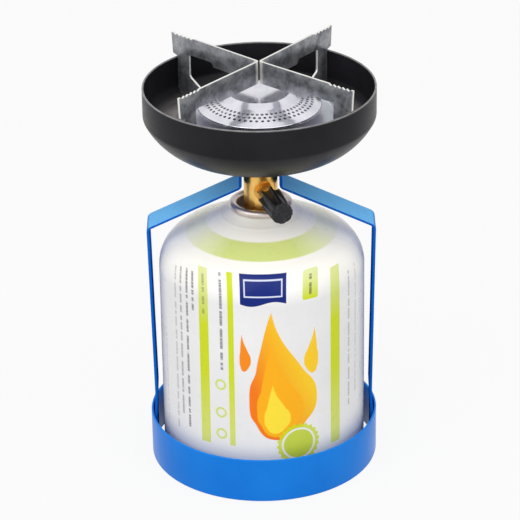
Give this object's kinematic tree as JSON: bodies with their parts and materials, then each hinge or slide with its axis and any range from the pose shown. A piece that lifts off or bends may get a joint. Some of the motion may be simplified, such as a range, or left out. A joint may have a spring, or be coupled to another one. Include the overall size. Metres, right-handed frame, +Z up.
{
  "type": "portable gas stove",
  "caption": "Portable gas stove on a screw cartridge: burner in a bowl windshield, folded pot supports, strap and ring stand, needle valve with fluted knob.",
  "frame": {"origin": "centre of the base ring's lower edge, on the surface that the stove stands on", "axes": "+Z up along the cartridge, -Y towards the knob side that the picture shows, +X to the right of that view, through the strap's right leg"},
  "size_m": [0.1224, 0.1224, 0.226],
  "materials": {
    "ring_paint": "gloss blue enamel",
    "strap_paint": "gloss blue enamel",
    "bowl_paint": "satin charcoal enamel",
    "support_plate": "bright zinc plate",
    "crown_plate": "bright nickel plate",
    "bell_plate": "bright nickel plate",
    "pan_plate": "satin plate",
    "tube_steel": "zinc plate",
    "nut_steel": "zinc plate",
    "valve_brass": "turned brass",
    "fitting_brass": "turned brass",
    "filter_bronze": "sintered bronze",
    "knob_plastic": "black moulded plastic",
    "seal_rubber": "black nitrile rubber",
    "pin_steel": "bright steel",
    "can_paint": "gloss white print",
    "base_tinplate": "bare tinplate",
    "cup_tinplate": "bare tinplate",
    "housing_plastic": "natural acetal",
    "stem_plastic": "natural acetal"
  },
  "bodies": {
    "cartridge": {"cartridge_shell": "can_paint", "cartridge_base": "base_tinplate", "valve_cup": "cup_tinplate", "cup_gasket": "seal_rubber", "stem_gasket": "seal_rubber", "valve_housing": "housing_plastic", "stem_spring": "pin_steel"},
    "stem": {"cartridge_stem": "stem_plastic"},
    "connector_seal": {"connector_gasket": "seal_rubber"},
    "depressor": {"depressor_pin": "pin_steel"},
    "stove": {"base_ring": "ring_paint", "cradle_strap": "strap_paint", "windshield_bowl": "bowl_paint", "pot_support_left": "support_plate", "pot_support_right": "support_plate", "burner_crown": "crown_plate", "burner_bell": "bell_plate", "drip_pan": "pan_plate", "mixing_tube": "tube_steel", "lock_washer": "nut_steel", "clamp_nut": "nut_steel", "jet": "fitting_brass", "jet_filter": "filter_bronze", "valve_body": "valve_brass", "gland_nut": "fitting_brass"},
    "spindle_seal": {"spindle_o_ring": "seal_rubber"},
    "control": {"valve_spindle": "fitting_brass", "control_knob": "knob_plastic"}
  },
  "joints": [
    {"name": "lift_off", "type": "slide", "parent": "cartridge", "child": "connector_seal", "axis": [0, 0, 1], "range_m": [0, 0.155]},
    {"name": "thread_travel", "type": "slide", "parent": "connector_seal", "child": "depressor", "axis": [0, 0, 1], "range_m": [0, 0.00363]},
    {"name": "stove_turn", "type": "hinge", "parent": "depressor", "child": "stove", "pos_m": [0, 0, 0], "axis": [0, 0, 1], "range_deg": [0, 1440]},
    {"name": "stem_rise", "type": "slide", "parent": "cartridge", "child": "stem", "axis": [0, 0, 1], "range_m": [0, 0.0012], "deforming": ["stem_spring"]},
    {"name": "spindle_travel", "type": "slide", "parent": "stove", "child": "spindle_seal", "axis": [0.284, -0.9588, 0], "range_m": [0, 0.00112]},
    {"name": "knob_turn", "type": "hinge", "parent": "spindle_seal", "child": "control", "pos_m": [0, 0, 0.1565], "axis": [0.284, -0.9588, 0], "range_deg": [0, 540]}
  ],
  "couplings": [
    {"joint": "thread_travel", "follows": "stove_turn", "m_per_rad": 0.00014438},
    {"joint": "stem_rise", "follows": "stove_turn", "m_per_rad": 0.000047741},
    {"joint": "knob_turn", "follows": "spindle_travel", "rad_per_m": 8377.6}
  ]
}
